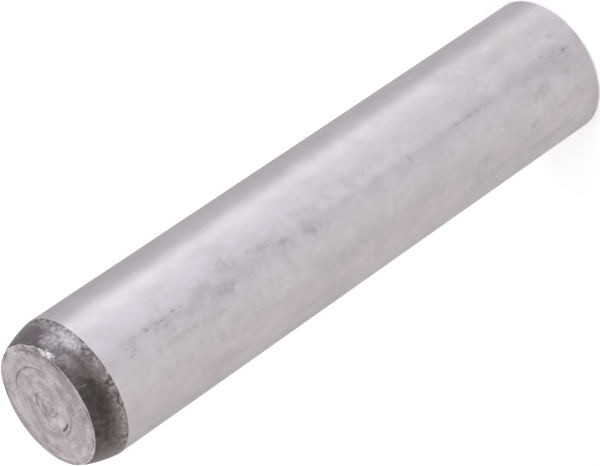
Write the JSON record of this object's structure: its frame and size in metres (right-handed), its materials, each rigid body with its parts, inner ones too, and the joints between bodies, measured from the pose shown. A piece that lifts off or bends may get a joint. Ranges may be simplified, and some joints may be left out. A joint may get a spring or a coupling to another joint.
{
  "type": "lower link pin",
  "caption": "Straight round steel pin with a ground shank, a crowned lead at one end and a flat seat at the other, for joining links that turn.",
  "frame": {"origin": "centre of the flat seat, which the pin stands on", "axes": "+Z along the pin's axis, from the flat seat to the end with the lead"},
  "size_m": [0.016, 0.016, 0.075],
  "materials": {
    "ground_steel": "ground shank with a dark heat-treatment scale on the lead and turned marks on the end"
  },
  "bodies": {
    "root": {"link_pin": "ground_steel"}
  },
  "joints": []
}
